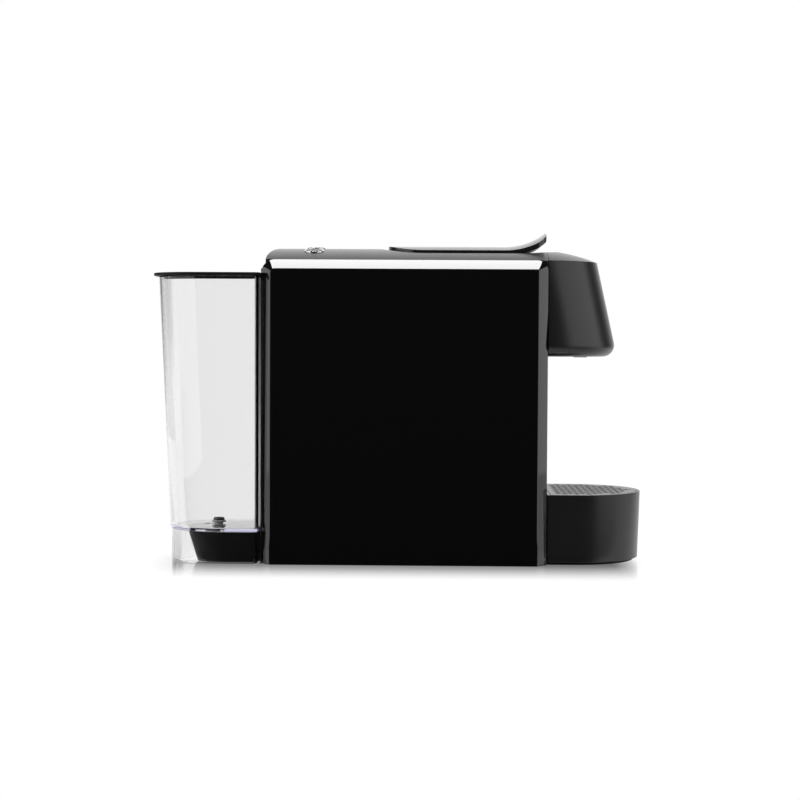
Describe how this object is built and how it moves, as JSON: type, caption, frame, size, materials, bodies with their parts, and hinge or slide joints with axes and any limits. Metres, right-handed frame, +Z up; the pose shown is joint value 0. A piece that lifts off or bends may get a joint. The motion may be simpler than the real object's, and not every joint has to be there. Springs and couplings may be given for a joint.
{
  "type": "pod coffee machine",
  "caption": "A narrow pod coffee machine with gloss black sides, a domed charcoal top and brew head, an opening lever, a clear rear water tank and a drip-tray drawer",
  "frame": {"origin": "bottom centre of the bounding box, on the table", "axes": "+X towards the front where the cup stands, +Y to the machine's left, +Z up"},
  "size_m": [0.3852, 0.124, 0.2583],
  "materials": {
    "gloss_black": "high-gloss black moulded plastic",
    "satin_charcoal": "finely textured dark grey plastic",
    "satin_black": "satin black plastic",
    "matte_black": "matte black plastic",
    "clear_plastic": "clear moulded plastic",
    "white_plastic": "off-white plastic",
    "bright_chrome": "bright chrome",
    "bare_steel": "plain sheet steel",
    "dark_grille": "dark grey plastic with worn rims",
    "cast_aluminium": "die-cast aluminium",
    "black_rubber": "soft black rubber",
    "silicone_hose": "translucent silicone",
    "circuit_board": "green circuit board"
  },
  "bodies": {
    "housing": {"base_pan": "matte_black", "left_side_panel": "gloss_black", "right_side_panel": "gloss_black", "rear_panel": "matte_black", "front_panel": "matte_black", "top_cover": "satin_charcoal", "head_cover": "satin_charcoal", "coffee_spout": "white_plastic", "outlet_trough": "matte_black", "left_brew_plate": "bare_steel", "right_brew_plate": "bare_steel", "lever_pin": "bare_steel", "injector_block": "cast_aluminium", "injector_seal": "black_rubber", "piercing_pins": "bare_steel", "thermoblock": "cast_aluminium", "thermostat": "bare_steel", "pump": "bare_steel", "pump_mounts": "black_rubber", "flow_meter": "matte_black", "inlet_hose": "silicone_hose", "suction_hose": "silicone_hose", "pressure_hose": "silicone_hose", "brew_hose": "silicone_hose", "control_board": "circuit_board", "switch_carrier": "matte_black", "button_switches": "matte_black", "button_bezels": "bright_chrome", "tank_socket": "matte_black", "socket_seal": "black_rubber", "cord_gland": "matte_black", "rubber_feet": "black_rubber", "base_screws": "bare_steel"},
    "lever": {"lever_blade": "satin_black", "lever_hub": "bare_steel", "crank_pins": "bare_steel"},
    "brew_carriage": {"capsule_holder": "matte_black", "extraction_plate": "bare_steel", "holder_nozzle": "white_plastic"},
    "right_push_button": {"right_button": "matte_black"},
    "middle_push_button": {"middle_button": "matte_black"},
    "left_push_button": {"left_button": "matte_black"},
    "tank": {"water_tank": "clear_plastic", "valve_body": "matte_black"},
    "lid": {"tank_lid": "matte_black"},
    "tank_valve": {"valve_poppet": "white_plastic"},
    "tray_drawer": {"drip_tray": "satin_charcoal", "tray_plinth": "matte_black", "capsule_bin": "matte_black"},
    "grille": {"drip_grille": "dark_grille"}
  },
  "joints": [
    {"name": "lever_lift", "type": "hinge", "parent": "housing", "child": "lever", "pos_m": [0.00285, 0, 0.238], "axis": [0, -1, 0], "range_deg": [0, 80]},
    {"name": "carriage_slide", "type": "slide", "parent": "housing", "child": "brew_carriage", "axis": [1, 0, 0], "range_m": [0, 0.03085]},
    {"name": "right_button_press", "type": "slide", "parent": "housing", "child": "right_push_button", "axis": [0, 0.208, -0.9781], "range_m": [0, 0.0015], "stiffness_N_per_m": 300},
    {"name": "middle_button_press", "type": "slide", "parent": "housing", "child": "middle_push_button", "axis": [0, 0, -1], "range_m": [0, 0.0015], "stiffness_N_per_m": 300},
    {"name": "left_button_press", "type": "slide", "parent": "housing", "child": "left_push_button", "axis": [0, -0.208, -0.9781], "range_m": [0, 0.0015], "stiffness_N_per_m": 300},
    {"name": "tank_lift", "type": "slide", "parent": "housing", "child": "tank", "axis": [0, 0, 1], "range_m": [0, 0.06]},
    {"name": "lid_lift", "type": "slide", "parent": "tank", "child": "lid", "axis": [0, 0, 1], "range_m": [0, 0.04]},
    {"name": "valve_slide", "type": "slide", "parent": "tank", "child": "tank_valve", "axis": [0, 0, 1], "range_m": [-0.002, 0]},
    {"name": "drawer_slide", "type": "slide", "parent": "housing", "child": "tray_drawer", "axis": [1, 0, 0], "range_m": [0, 0.12]},
    {"name": "grille_lift", "type": "slide", "parent": "tray_drawer", "child": "grille", "axis": [0, 0, 1], "range_m": [0, 0.04]}
  ],
  "couplings": [
    {"joint": "carriage_slide", "follows": "lever_lift", "m_per_rad": 0.022097},
    {"joint": "valve_slide", "follows": "tank_lift", "ratio": -0.033333}
  ]
}
